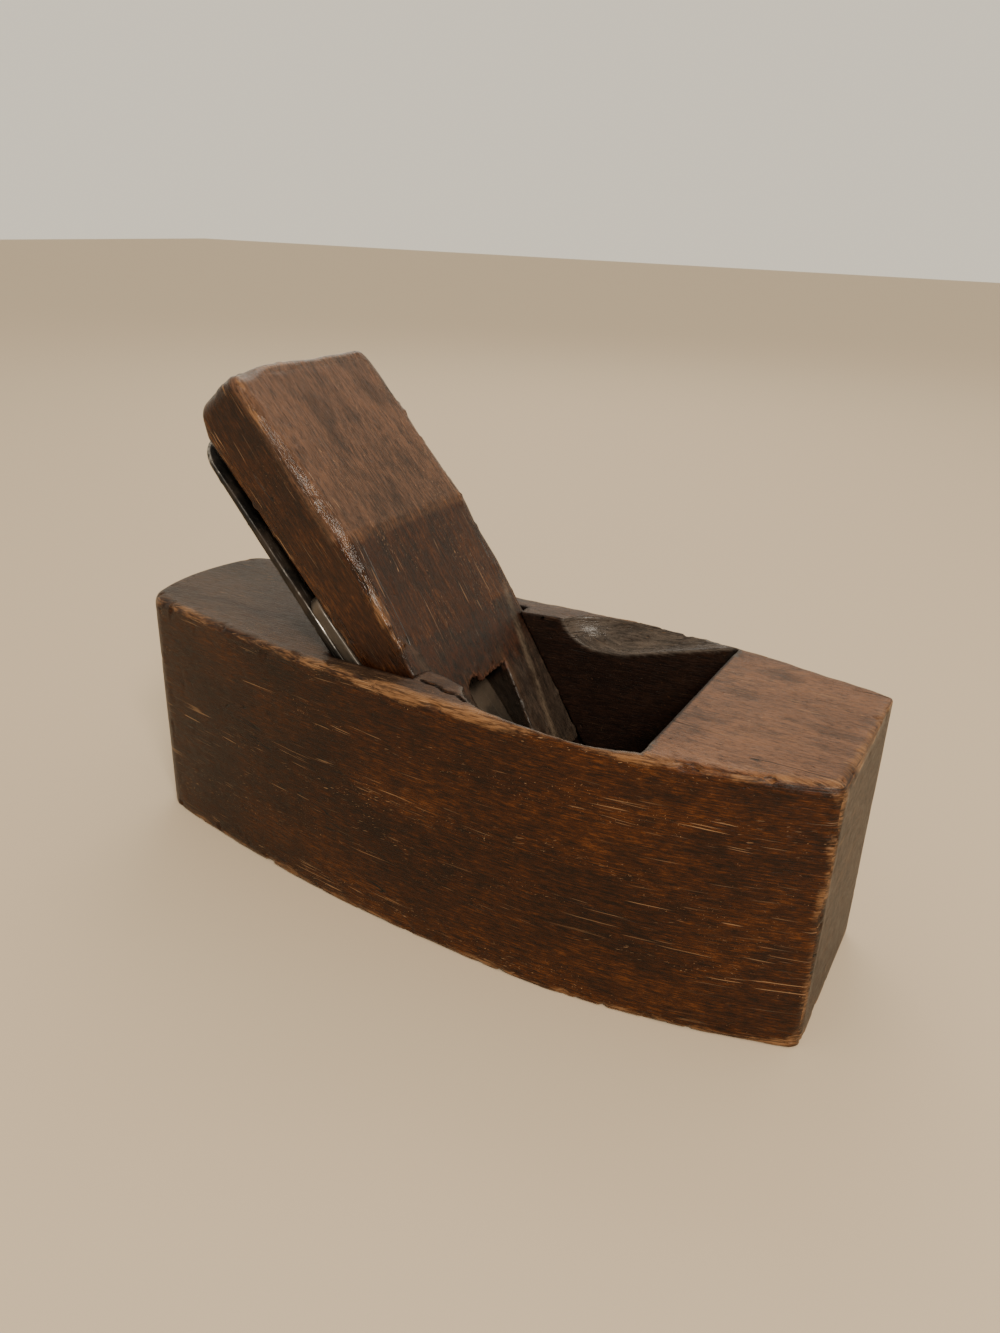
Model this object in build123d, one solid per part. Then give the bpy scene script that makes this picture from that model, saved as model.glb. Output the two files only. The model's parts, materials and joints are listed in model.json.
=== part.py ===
"""Coffin-shaped wooden smoothing plane with a double iron and a pronged wedge.

Millimetres. +X points to the toe, +Z up, and the origin is the centre of the sole.
The irons and the wedge lie on the bed, a slope that rises from the mouth towards the heel.
On the bed, s is the distance up the slope from the sole and n the height square to the slope.
"""
import os
from math import cos, radians, sin, sqrt, tan

from build123d import *

# Stock: the wooden body
stock_length = 204.5
stock_width = 76.8
stock_height = 69.85
widest_from_toe = 74.2
toe_width = 50.6
heel_width = 45.0
heel_bow = 4.5
heel_corner_radius = 8.0
toe_corner_radius = 2.0
top_arris_radius = 2.5
sole_arris_radius = 0.8

# Bed, abutments and throat
bed_angle = 50.0
bed_from_toe = 71.0
abutment_angle = 10.9
abutment_height = 5.48
abutment_width = 4.65
cheek_rim = 1.6
breast_from_toe = 41.7
wear_height = 18.0
wear_lean = 3.0
mouth_gap = 1.6
eye_end_from_toe = 77.2
eye_gouge_radius = 9.2
eye_gouge_lift = 0.95
eye_gouge_inset = 2.4
eye_gouge_rise = 11.9

# Cutting iron
iron_width = 57.15
iron_length = 158.0
iron_top_thickness = 1.1
iron_edge_thickness = 4.9
iron_corner_radius = 8.0
bevel_angle = 25.0
edge_above_sole = 0.15
iron_slot_width = 10.5
iron_slot_end_from_edge = 52.0
keyhole_from_edge = 128.0

# Cap iron
cap_top_from_edge = 109.0
cap_setback = 1.2
cap_top_thickness = 3.2
cap_root_thickness = 4.1
cap_lip_thickness = 0.4
cap_corner_radius = 4.0
hump_length = 34.0
hump_rise = 2.6

# Screw and nut of the cap iron
screw_from_edge = 80.0
screw_radius = 4.0
screw_head_radius = 9.5
screw_head_height = 3.0
screw_slot_width = 1.6
screw_slot_depth = 1.3
screw_end_proud = 0.5
nut_radius = 7.5
nut_height = 4.0
nut_spigot_radius = 6.0
nut_rim_chamfer = 0.8

# Wedge
wedge_inside_iron = 0.575
wedge_top_from_edge = 165.0
wedge_top_depth = 21.6
wedge_break_from_edge = 115.0
wedge_break_depth = 23.8
wedge_tip_from_edge = 38.0
wedge_centre_angle = 7.0
ridge_top_from_edge = 102.0
ridge_tip_half_width = 12.3
ridge_bevel_angle = 9.8
wedge_top_bevel_length = 8.0
wedge_top_bevel_rise = 3.8
wedge_arris_radius = 3.0
notch_from_edge = 69.0
notch_width = 18.0

# Clearances
side_clearance = 1.05
bed_clearance = 0.1
cap_clearance = 0.05
wedge_clearance = 0.1
screw_clearance = 0.05
head_clearance = 0.05
hump_clearance = 0.6
keyhole_clearance = 1.0
groove_side_clearance = 2.0
groove_depth_clearance = 2.0
wedge_groove_clearance = 1.0

# Places worked out from the sizes
toe_x = stock_length / 2
heel_x = -stock_length / 2
widest_x = toe_x - widest_from_toe
bed_x = toe_x - bed_from_toe
breast_x = toe_x - breast_from_toe
eye_end_x = toe_x - eye_end_from_toe
slope = radians(bed_angle)
slot_half_width = iron_width / 2 + side_clearance
wedge_width = iron_width - 2 * wedge_inside_iron
overcut = 5.0

# Directions on the bed: up the slope, and square to it towards the toe
up_bed = Vector(-cos(slope), 0, sin(slope))
off_bed = Vector(sin(slope), 0, cos(slope))
bed_profile_plane = Plane(origin=(bed_x, 0, 0), x_dir=up_bed, z_dir=(0, 1, 0))
bed_face_plane = Plane(origin=(bed_x, 0, 0), x_dir=up_bed, z_dir=off_bed)

# The cutting edge and what is measured up the bed from it
edge_n = bed_clearance + iron_edge_thickness
edge_s = (edge_above_sole - edge_n * cos(slope)) / sin(slope)
iron_top_s = edge_s + iron_length
cap_top_s = edge_s + cap_top_from_edge
cap_lip_s = edge_s + cap_setback
hump_root_s = cap_lip_s + hump_length
hump_middle_s = (cap_lip_s + hump_root_s) / 2
screw_s = edge_s + screw_from_edge
slot_end_s = edge_s + iron_slot_end_from_edge
keyhole_s = edge_s + keyhole_from_edge
keyhole_radius = screw_head_radius + keyhole_clearance
wedge_top_s = edge_s + wedge_top_from_edge
wedge_break_s = edge_s + wedge_break_from_edge
wedge_tip_s = edge_s + wedge_tip_from_edge
notch_s = edge_s + notch_from_edge
ridge_top_s = edge_s + ridge_top_from_edge

iron_taper = (iron_edge_thickness - iron_top_thickness) / iron_length
abutment_taper = tan(radians(abutment_angle))
centre_taper = tan(radians(wedge_centre_angle))


def bed_point(s, n):
    """Row X and Z of a point on the bed's profile."""
    return bed_x - s * cos(slope) + n * sin(slope), s * sin(slope) + n * cos(slope)


def s_at_height(z, n_at_zero, taper):
    """Distance up the bed at which a face n = n_at_zero + taper * s reaches a height."""
    return (z - n_at_zero * cos(slope)) / (sin(slope) + taper * cos(slope))


def stock_half_width(x):
    """Half the stock's width at a place along it, on its two side arcs."""
    if x > widest_x:
        run, fall = toe_x - widest_x, (stock_width - toe_width) / 2
    else:
        run, fall = widest_x - heel_x - heel_bow, (stock_width - heel_width) / 2
    radius = (run**2 + fall**2) / (2 * fall)
    return stock_width / 2 - radius + sqrt(radius**2 - (x - widest_x) ** 2)


def iron_front(s):
    """Height of the cutting iron's front face above the bed."""
    return edge_n - (s - edge_s) * iron_taper


def cap_back(s):
    """Height of the cap iron's back face, where it lies on the cutting iron."""
    return iron_front(s) + cap_clearance


def cap_front(s):
    """Height of the cap iron's front face above the bed, above its hump."""
    top = cap_back(cap_top_s) + cap_top_thickness
    root = cap_back(hump_root_s) + cap_root_thickness
    return top + (root - top) * (cap_top_s - s) / (cap_top_s - hump_root_s)


def hump_heights():
    """Heights of the back and the front of the cap iron's hump at its middle."""
    back = cap_back(hump_middle_s) + hump_rise
    return back, back + (cap_root_thickness + cap_lip_thickness) / 2


def abutment_face(s):
    """Height of the abutments' bearing face above the bed."""
    return abutment_height + abutment_taper * s


def bed_prism(points, half_width):
    """Solid with a profile drawn in s and n, centred across the stock."""
    face = make_face(bed_profile_plane * Polyline(*points, close=True))
    return extrude(face, amount=half_width, both=True)


def bed_cylinder(s, low, high, radius):
    """Round bar square to the bed, from one height above it to another."""
    bar = Cylinder(radius, high - low, align=(Align.CENTER, Align.CENTER, Align.MIN))
    return bed_face_plane * Pos(s, 0, low) * bar


def bed_bar(start_s, end_s, low, high, width):
    """Square bar up the bed, centred across it, from one height above it to another."""
    bar = Box(end_s - start_s, width, high - low, align=(Align.MIN, Align.CENTER, Align.MIN))
    return bed_face_plane * Pos(start_s, 0, low) * bar


def edges_along(shape, direction):
    """Straight edges of a shape that run along a direction."""
    return shape.edges().filter_by(GeomType.LINE).filter_by(Axis((0, 0, 0), direction))


def stock_block():
    """The stock's outline stood up to its height, with its arrises rounded."""
    widest = (widest_x, stock_width / 2)
    toe_corner = (toe_x, toe_width / 2)
    heel_corner = (heel_x + heel_bow, heel_width / 2)
    side = Curve() + TangentArc(widest, toe_corner, tangent=(1, 0))
    side += TangentArc(widest, heel_corner, tangent=(-1, 0))
    toe = Line((toe_x, toe_width / 2), (toe_x, -toe_width / 2))
    heel = ThreePointArc(heel_corner, (heel_x, 0), (heel_corner[0], -heel_corner[1]))
    outline = side + mirror(side, about=Plane.XZ) + toe + heel
    block = extrude(make_face(outline), amount=stock_height)
    uprights = block.edges().filter_by(Axis.Z)
    block = fillet(uprights.group_by(Axis.X)[0], heel_corner_radius)
    uprights = block.edges().filter_by(Axis.Z)
    block = fillet(uprights.group_by(Axis.X)[-1], toe_corner_radius)
    block = fillet(block.edges().group_by(Axis.Z)[-1], top_arris_radius)
    return fillet(block.edges().group_by(Axis.Z)[0], sole_arris_radius)


def iron_slot_cut():
    """Space for the irons and the wedge, from the bed to the abutments."""
    low, high = -overcut, stock_height + overcut
    bed_low = s_at_height(low, 0, 0)
    bed_high = s_at_height(high, 0, 0)
    face_low = s_at_height(low, abutment_height, abutment_taper)
    face_high = s_at_height(high, abutment_height, abutment_taper)
    points = [
        (bed_low, 0),
        (bed_high, 0),
        (face_high, abutment_face(face_high)),
        (face_low, abutment_face(face_low)),
    ]
    return bed_prism(points, slot_half_width)


def hump_relief_cut():
    """Space as wide as the slot for the cap iron's hump, below the abutments."""
    low_n = cap_back(cap_lip_s) + cap_lip_thickness + hump_clearance
    high_n = hump_heights()[1] + hump_clearance
    points = [
        (cap_lip_s, 0),
        (cap_lip_s, low_n),
        (hump_middle_s, high_n),
        (hump_root_s, high_n),
        (hump_root_s, 0),
    ]
    return bed_prism(points, slot_half_width)


def cheek_wall_y(x):
    """Half the throat's width, between the flared walls of the cheeks."""
    top_s = s_at_height(stock_height, abutment_height, abutment_taper)
    start_x = bed_point(top_s, abutment_face(top_s))[0]
    start_y = slot_half_width - abutment_width
    end_y = stock_half_width(breast_x) - cheek_rim
    return start_y + (end_y - start_y) * (x - start_x) / (breast_x - start_x)


def throat_cut():
    """Space for the shavings: cheeks that flare to the breast, and the mouth."""
    mouth_x = bed_point(edge_s, edge_n)[0] + mouth_gap
    breast_lean = (breast_x - mouth_x - wear_lean) / (stock_height - wear_height)
    above = stock_height + overcut
    profile = Polyline(
        (bed_point(s_at_height(-overcut, 0, 0), 0)[0], -overcut),
        (mouth_x, -overcut),
        (mouth_x, 0),
        (mouth_x + wear_lean, wear_height),
        (breast_x + breast_lean * overcut, above),
        (bed_point(s_at_height(above, 0, 0), 0)[0], above),
        close=True,
    )
    side = extrude(make_face(Plane.XZ * profile), amount=stock_width, both=True)
    front_x = breast_x + overcut
    plan = Polyline(
        (heel_x, cheek_wall_y(heel_x)),
        (front_x, cheek_wall_y(front_x)),
        (front_x, -cheek_wall_y(front_x)),
        (heel_x, -cheek_wall_y(heel_x)),
        close=True,
    )
    walls = Pos(0, 0, -overcut) * extrude(make_face(plan), amount=stock_height + 2 * overcut)
    mouth = Box(stock_length, 2 * slot_half_width, 2 * wear_height)
    return (side & walls) + (side & mouth)


def eye_cut():
    """Scoop in the left cheek's top edge: a gouge run down from the breast to a round end."""
    start_y = cheek_wall_y(eye_end_x) - eye_gouge_inset
    start = Vector(eye_end_x, start_y, stock_height + eye_gouge_lift)
    run = Vector(breast_x - eye_end_x, cheek_wall_y(breast_x) - cheek_wall_y(eye_end_x), 0)
    run += Vector(0, 0, run.length * tan(radians(eye_gouge_rise)))
    gouge = Plane(origin=start, z_dir=run) * Cylinder(
        eye_gouge_radius, 2 * run.length, align=(Align.CENTER, Align.CENTER, Align.MIN)
    )
    gouge += Pos(*start) * Sphere(eye_gouge_radius)
    cheek_start = slot_half_width - abutment_width
    cheek = Box(stock_length, stock_width, 2 * stock_height, align=(Align.MAX, Align.MIN, Align.MIN))
    return gouge & (Pos(breast_x, cheek_start, 0) * cheek)


def head_groove_cut():
    """Groove down the bed that the screw's head slides in."""
    half_width = screw_head_radius + groove_side_clearance
    depth = screw_head_height + head_clearance + groove_depth_clearance
    top_s = s_at_height(stock_height + overcut, 0, 0) + depth
    groove = bed_bar(screw_s, top_s, -depth, overcut, 2 * half_width)
    return groove + bed_cylinder(screw_s, -depth, overcut, half_width)


def make_stock():
    stock = stock_block()
    stock -= iron_slot_cut()
    stock -= throat_cut()
    stock -= hump_relief_cut()
    stock -= head_groove_cut()
    eye = eye_cut()
    stock -= eye
    return stock - mirror(eye, about=Plane.XZ)


def make_cutting_iron():
    profile = [
        (edge_s, edge_n),
        (edge_s + iron_edge_thickness / tan(radians(bevel_angle)), bed_clearance),
        (iron_top_s, bed_clearance),
        (iron_top_s, iron_front(iron_top_s)),
    ]
    iron = bed_prism(profile, iron_width / 2)
    corners = edges_along(iron, off_bed).group_by(Axis.Z)[-1]
    iron = fillet(corners, iron_corner_radius)
    depth = 2 * iron_edge_thickness
    slot = bed_bar(slot_end_s, keyhole_s, -depth, depth, iron_slot_width)
    slot_end = bed_cylinder(slot_end_s, -depth, depth, iron_slot_width / 2)
    keyhole = bed_cylinder(keyhole_s, -depth, depth, keyhole_radius)
    return iron - slot - slot_end - keyhole


def make_cap_iron():
    """Flat plate that springs off the iron in a hump and comes back to it at its lip."""
    back_top = (cap_top_s, cap_back(cap_top_s))
    back_root = (hump_root_s, cap_back(hump_root_s))
    lip_back = (cap_lip_s, cap_back(cap_lip_s))
    lip_front = (cap_lip_s + cap_lip_thickness, lip_back[1] + cap_lip_thickness)
    front_root = (hump_root_s, cap_front(hump_root_s))
    front_top = (cap_top_s, cap_front(cap_top_s))
    back_crest, front_crest = hump_heights()
    outline = Wire([
        Line(back_top, back_root),
        ThreePointArc(back_root, (hump_middle_s, back_crest), lip_back),
        Line(lip_back, lip_front),
        ThreePointArc(lip_front, (hump_middle_s, front_crest), front_root),
        Line(front_root, front_top),
        Line(front_top, back_top),
    ])
    cap = extrude(make_face(bed_profile_plane * outline), amount=iron_width / 2, both=True)
    corners = edges_along(cap, off_bed).group_by(Axis.Z)[-1]
    cap = fillet(corners, cap_corner_radius)
    return cap - bed_cylinder(screw_s, 0, cap_front(screw_s) + overcut, nut_spigot_radius)


def make_cap_iron_nut(cap_iron):
    """Threaded boss, riveted into the cap iron, with its thick end towards the wedge."""
    spigot_low = cap_back(screw_s - nut_spigot_radius)
    seat = cap_front(screw_s)
    boss = bed_cylinder(screw_s, seat - nut_rim_chamfer, seat + nut_height, nut_radius)
    rim = boss.edges().filter_by(GeomType.CIRCLE).sort_by(Axis.X)[-1]
    boss = chamfer(rim, nut_rim_chamfer)
    boss -= cap_iron
    boss += bed_cylinder(screw_s, spigot_low, seat, nut_spigot_radius)
    thread = bed_cylinder(screw_s, 0, seat + nut_height + overcut, screw_radius + screw_clearance)
    return boss - thread


def make_cap_iron_screw():
    """Screw with its slotted head behind the cutting iron."""
    seat = bed_clearance - head_clearance
    low = seat - screw_head_height
    end = cap_front(screw_s) + nut_height + screw_end_proud
    screw = bed_cylinder(screw_s, low, seat, screw_head_radius)
    screw += bed_cylinder(screw_s, seat, end, screw_radius)
    slot_start = screw_s - screw_head_radius - overcut
    slot_end = screw_s + screw_head_radius + overcut
    slot_floor = low + screw_slot_depth
    return screw - bed_bar(slot_start, slot_end, low - overcut, slot_floor, screw_slot_width)


def wedge_back(s):
    """Height of the wedge's back above the bed."""
    return cap_front(s) + wedge_clearance


def wedge_bearing(s):
    """Height of the wedge's edges, which bear on the abutments."""
    return abutment_face(s) - wedge_clearance


def wedge_centre(s):
    """Height of the middle of the wedge's front, below its break line."""
    return wedge_break_depth - (wedge_break_s - s) * centre_taper


def wedge_blank():
    """The wedge before its front is bevelled, with its upper arrises rounded."""
    bevel_s = wedge_top_s - wedge_top_bevel_length
    points = [
        (wedge_tip_s, wedge_back(wedge_tip_s)),
        (bevel_s, wedge_back(bevel_s)),
        (wedge_top_s, wedge_back(wedge_top_s) + wedge_top_bevel_rise),
        (wedge_top_s, wedge_top_depth),
        (wedge_break_s, wedge_break_depth),
        (wedge_tip_s, wedge_centre(wedge_tip_s)),
    ]
    blank = bed_prism(points, wedge_width / 2)
    front = up_bed * (wedge_top_s - wedge_break_s)
    front += off_bed * (wedge_top_depth - wedge_break_depth)
    return fillet(edges_along(blank, front), wedge_arris_radius)


def wedge_bevel_cut():
    """What is taken off one side of the wedge's lower front, down to its bearing face."""
    across = Vector(0, 1, 0)
    along_ridge = up_bed * (ridge_top_s - wedge_tip_s)
    along_ridge += across * (wedge_width / 2 - ridge_tip_half_width)
    along_ridge += off_bed * (wedge_centre(ridge_top_s) - wedge_centre(wedge_tip_s))
    down_side = across - off_bed * tan(radians(ridge_bevel_angle))
    x, z = bed_point(wedge_tip_s, wedge_centre(wedge_tip_s))
    ridge_point = (x, ridge_tip_half_width, z)
    above_ridge = Plane(origin=ridge_point, x_dir=along_ridge, z_dir=along_ridge.cross(down_side))
    x, z = bed_point(0, wedge_bearing(0))
    along_bearing = up_bed + off_bed * abutment_taper
    off_bearing = off_bed - up_bed * abutment_taper
    above_bearing = Plane(origin=(x, 0, z), x_dir=along_bearing, z_dir=off_bearing)
    span = 4 * iron_length
    slab = Box(span, span, span, align=(Align.CENTER, Align.CENTER, Align.MIN))
    return (above_ridge * slab) & (above_bearing * slab)


def notch_cut():
    """Gap between the wedge's two prongs."""
    return bed_bar(wedge_tip_s - overcut, notch_s, 0, wedge_break_depth + overcut, notch_width)


def nut_groove_cut():
    """Groove up the wedge's back that clears the nut and the screw's end."""
    half_width = nut_radius + wedge_groove_clearance
    floor = cap_front(screw_s) + nut_height + screw_end_proud + wedge_groove_clearance
    groove = bed_bar(wedge_tip_s - overcut, screw_s, 0, floor, 2 * half_width)
    return groove + bed_cylinder(screw_s, 0, floor, half_width)


def make_wedge():
    """Wooden wedge, its back on the cap iron and its edges under the abutments."""
    wedge = wedge_blank()
    bevel = wedge_bevel_cut()
    wedge -= bevel
    wedge -= mirror(bevel, about=Plane.XZ)
    wedge -= notch_cut()
    return wedge - nut_groove_cut()


cap_iron = make_cap_iron()
parts = {
    "stock": make_stock(),
    "cutting_iron": make_cutting_iron(),
    "cap_iron": cap_iron,
    "cap_iron_nut": make_cap_iron_nut(cap_iron),
    "cap_iron_screw": make_cap_iron_screw(),
    "wedge": make_wedge(),
}

os.makedirs("parts", exist_ok=True)
for name, solid in parts.items():
    export_step(solid, f"parts/{name}.step")
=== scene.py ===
# Wooden smoothing plane: beech stock and wedge, tapered iron, cap iron, its nut and its screw.
# Each piece is a distance field in millimetres, skinned into a mesh and then worn by hand use.
import json
import math

import bpy
import numpy as np
from mathutils import Matrix, Vector


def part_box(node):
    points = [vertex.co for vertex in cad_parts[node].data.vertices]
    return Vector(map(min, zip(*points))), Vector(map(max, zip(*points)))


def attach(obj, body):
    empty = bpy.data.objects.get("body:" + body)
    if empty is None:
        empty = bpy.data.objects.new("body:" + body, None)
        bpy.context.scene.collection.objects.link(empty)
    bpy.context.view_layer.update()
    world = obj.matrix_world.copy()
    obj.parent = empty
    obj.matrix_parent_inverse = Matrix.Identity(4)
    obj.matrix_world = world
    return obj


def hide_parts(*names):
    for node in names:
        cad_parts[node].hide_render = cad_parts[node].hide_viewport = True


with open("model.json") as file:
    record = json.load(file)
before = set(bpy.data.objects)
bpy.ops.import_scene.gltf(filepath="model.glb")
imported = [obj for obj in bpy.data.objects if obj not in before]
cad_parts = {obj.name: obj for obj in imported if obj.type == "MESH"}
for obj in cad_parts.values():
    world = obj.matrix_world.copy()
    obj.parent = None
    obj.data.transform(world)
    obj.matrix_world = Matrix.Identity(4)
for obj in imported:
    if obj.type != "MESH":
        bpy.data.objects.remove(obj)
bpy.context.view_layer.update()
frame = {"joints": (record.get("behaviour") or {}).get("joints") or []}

mm = 0.001
pieces = {}

# Places come from the frame: the bed, the screw on it, and the boxes of the parts
joints = {joint["name"]: joint for joint in frame["joints"]}
upBed = Vector(joints["iron_slide"]["axis"]).normalized()
screwFoot = Vector(joints["screw_turn"]["pos_m"]) / mm
bedFoot = screwFoot - upBed * (screwFoot.z / upBed.z)
screwS = (screwFoot - bedFoot).length
bedCos, bedSin = -upBed.x, upBed.z
stockLow, stockHigh = (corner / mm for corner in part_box("stock"))
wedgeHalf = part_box("wedge")[1].y / mm
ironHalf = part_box("cutting_iron")[1].y / mm
toeX, heelX, topZ = stockHigh.x, stockLow.x, stockHigh.z


def bedS(x, z):
    return (bedFoot.x - x) * bedCos + z * bedSin  # distance up the bed from the sole


def bedN(x, z):
    return (x - bedFoot.x) * bedSin + z * bedCos  # height square to the bed


def bedToRow(points):
    s, y, n = points.T
    return np.stack([bedFoot.x - s * bedCos + n * bedSin, y, s * bedSin + n * bedCos], axis=1)


# camera
cameraPlace = {
    "place": (126.88, -218.76, 173.88),
    "heading": 28.75,
    "down": 23.82,
    "roll": 1.98,
    "lens": 27.82,
}


def makeCamera(place):
    data = bpy.data.cameras.new("benchView")
    data.lens = place["lens"]
    data.clip_start = 0.01
    camera = bpy.data.objects.new("benchView", data)
    bpy.context.scene.collection.objects.link(camera)
    turn = Matrix.Rotation(math.radians(place["heading"]), 4, "Z")
    turn @= Matrix.Rotation(math.radians(90 - place["down"]), 4, "X")
    turn @= Matrix.Rotation(math.radians(place["roll"]), 4, "Z")
    camera.matrix_world = Matrix.Translation(Vector(place["place"]) * mm) @ turn
    bpy.context.scene.camera = camera


makeCamera(cameraPlace)


# distance fields: negative inside, in millimetres
def roundAnd(a, b, r):
    # inside both, with the shared edge rounded to radius r
    return np.minimum(-r, np.maximum(a, b)) + np.hypot(np.maximum(r + a, 0), np.maximum(r + b, 0))


def roundCut(a, b, r):
    return roundAnd(a, -b, r)


def allOf(first, *others):
    for other in others:
        first = np.maximum(first, other)
    return first


def anyOf(first, *others):
    for other in others:
        first = np.minimum(first, other)
    return first


def ramp(value, low, high):
    t = np.clip((value - low) / (high - low), 0, 1)
    return t * t * (3 - 2 * t)


def slopeOf(field, points, step):
    grad = np.empty_like(points)
    for axis in range(3):
        ahead, behind = points.copy(), points.copy()
        ahead[:, axis] += step
        behind[:, axis] -= step
        grad[:, axis] = field(*ahead.T) - field(*behind.T)
    return grad / (2 * step)


def settle(field, points, step, rounds=3):
    # slides the points along the field's slope onto its surface
    for _ in range(rounds):
        grad = slopeOf(field, points, step)
        move = field(*points.T) / np.maximum((grad**2).sum(1), 0.2)
        points = points - grad * np.clip(move, -step * 4, step * 4)[:, None]
    return points


def skin(field, low, high, cell):
    # surface nets: a point in each grid cell that the surface crosses, a quad over each crossed edge
    low = np.array(low, float) - 1.5 * cell
    counts = np.ceil((np.array(high, float) + 1.5 * cell - low) / cell).astype(int) + 1
    axes = [low[a] + cell * np.arange(counts[a]) for a in range(3)]
    values = np.empty(counts, np.float32)
    slab = 16
    for start in range(0, counts[0], slab):
        grid = np.meshgrid(axes[0][start:start + slab], axes[1], axes[2], indexing="ij", sparse=True)
        values[start:start + slab] = field(*grid)
    inside = values < 0
    shape = counts - 1
    corners = [(i, j, k) for i in (0, 1) for j in (0, 1) for k in (0, 1)]
    filled = np.zeros(shape, np.int8)
    for i, j, k in corners:
        filled += inside[i:i + shape[0], j:j + shape[1], k:k + shape[2]]
    active = (filled > 0) & (filled < 8)
    cells = np.argwhere(active)
    index = np.full(shape, -1, np.int32)
    index[active] = np.arange(len(cells))
    total, hits = np.zeros((len(cells), 3)), np.zeros(len(cells))
    for a in corners:
        for axis in range(3):
            if a[axis]:
                continue
            b = [1 if n == axis else a[n] for n in range(3)]
            va = values[cells[:, 0] + a[0], cells[:, 1] + a[1], cells[:, 2] + a[2]]
            vb = values[cells[:, 0] + b[0], cells[:, 1] + b[1], cells[:, 2] + b[2]]
            crossed = (va < 0) != (vb < 0)
            place = np.tile(np.array(a, float), (crossed.sum(), 1))
            place[:, axis] += va[crossed] / (va[crossed] - vb[crossed])
            total[crossed] += place
            hits[crossed] += 1
    quads = []
    for axis in range(3):
        turned = (axis, (axis + 1) % 3, (axis + 2) % 3)
        full = np.moveaxis(inside, turned, (0, 1, 2))
        table = np.moveaxis(index, turned, (0, 1, 2))
        for change, order in ((full[:-1] & ~full[1:], 1), (~full[:-1] & full[1:], -1)):
            i, j, k = np.nonzero(change[:, 1:-1, 1:-1])
            ring = [table[i, j, k], table[i, j + 1, k], table[i, j + 1, k + 1], table[i, j, k + 1]]
            quads.append(np.stack(ring[::order], axis=1))
    return low + cell * (cells + total / hits[:, None]), np.concatenate(quads)


def bakeModifiers(piece):
    live = piece.evaluated_get(bpy.context.evaluated_depsgraph_get())
    plain = bpy.data.meshes.new_from_object(live)
    piece.modifiers.clear()
    old = piece.data
    piece.data = plain
    bpy.data.meshes.remove(old)
    plain.name = piece.name


def edgeShare(field, points, reach):
    # how far the surface falls away within reach: 0 on a flat, 1 on a crisp edge
    total = 0
    for axis in range(3):
        for way in (-reach, reach):
            moved = points.copy()
            moved[:, axis] += way
            total = total + field(*moved.T)
    return np.clip(total * 0.7 / reach, 0, 1)


def carve(name, field, low, high, size, marks=None, onBed=False, reach=4.0, outer=None):
    # skins a field; "arris" marks outer edges, for wear, and "hollow" marks inner corners, for dirt with
    # painted shade
    cell = size["cell"] * 1
    points, faces = skin(field, low, high, cell)
    points = settle(field, points, 0.15 * cell)
    grad = slopeOf(field, points, 0.3 * cell)
    normal = grad / np.maximum(np.linalg.norm(grad, axis=1), 1e-6)[:, None]
    lift = reach * 0.55
    values = {
        "arris": edgeShare(outer or field, points, reach),
        "hollow": np.clip(1 - field(*(points + normal * lift).T) / lift, 0, 1),
    }
    for mark, measure in (marks or {}).items():
        values[mark] = measure(*points.T)
    if onBed:
        points = bedToRow(points)
    mesh = bpy.data.meshes.new(name)
    mesh.from_pydata(points * mm, [], faces.tolist())
    mesh.polygons.foreach_set("use_smooth", np.ones(len(mesh.polygons), bool))
    for mark, value in values.items():
        mesh.attributes.new(mark, "FLOAT", "POINT").data.foreach_set("value", value.astype(np.float32))
    piece = bpy.data.objects.new(name, mesh)
    bpy.context.scene.collection.objects.link(piece)
    if 2 * len(mesh.polygons) > size["triangles"]:
        thin = piece.modifiers.new("thin", "DECIMATE")
        thin.ratio = size["triangles"] / (2 * len(mesh.polygons))
        bakeModifiers(piece)
    pieces[name] = piece
    print(name, "carved,", len(piece.data.polygons), "faces")
    return piece


# node helpers
def link(tree, socket, value):
    if isinstance(value, bpy.types.NodeSocket):
        tree.links.new(value, socket)
    else:
        socket.default_value = value


def add(tree, kind, inputs=None, **settings):
    one = tree.nodes.new(kind)
    for key, value in settings.items():
        setattr(one, key, value)
    for key, value in (inputs or {}).items():
        link(tree, one.inputs[key], value)
    return one


def math1(tree, operation, *values, clamp=False):
    kind = "ShaderNodeMath"
    return add(tree, kind, dict(enumerate(values)), operation=operation, use_clamp=clamp).outputs[0]


def band(tree, value, low, high, start=0.0, end=1.0):
    inputs = {"Value": value, "From Min": low, "From Max": high, "To Min": start, "To Max": end}
    return add(tree, "ShaderNodeMapRange", inputs, interpolation_type="SMOOTHSTEP").outputs["Result"]


def blend(tree, amount, a, b, how="MIX"):
    one = add(tree, "ShaderNodeMix", {0: amount, 6: a, 7: b}, data_type="RGBA", blend_type=how)
    return one.outputs[2]


def times(tree, a, b, clamp=False):
    return math1(tree, "MULTIPLY", a, b, clamp=clamp)


def plus(tree, a, b, clamp=False):
    return math1(tree, "ADD", a, b, clamp=clamp)


def minus(tree, a, b, clamp=False):
    return math1(tree, "SUBTRACT", a, b, clamp=clamp)


def speckle(tree, vector, size, detail=2.0, rough=0.5, bend=0.0):
    inputs = {
        "Vector": vector,
        "Scale": 1 / size,
        "Detail": detail,
        "Roughness": rough,
        "Distortion": bend,
    }
    return add(tree, "ShaderNodeTexNoise", inputs).outputs["Fac"]


def stretched(tree, vector, along, across, turn=0.0, shift=(0, 0, 0)):
    # pulls a pattern out along X, turned a little across the grain, to a unit of along by across
    inputs = {
        "Vector": vector,
        "Scale": (along, across, across),
        "Rotation": (0, turn, turn),
        "Location": shift,
    }
    return add(tree, "ShaderNodeMapping", inputs, vector_type="TEXTURE").outputs["Vector"]


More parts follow.
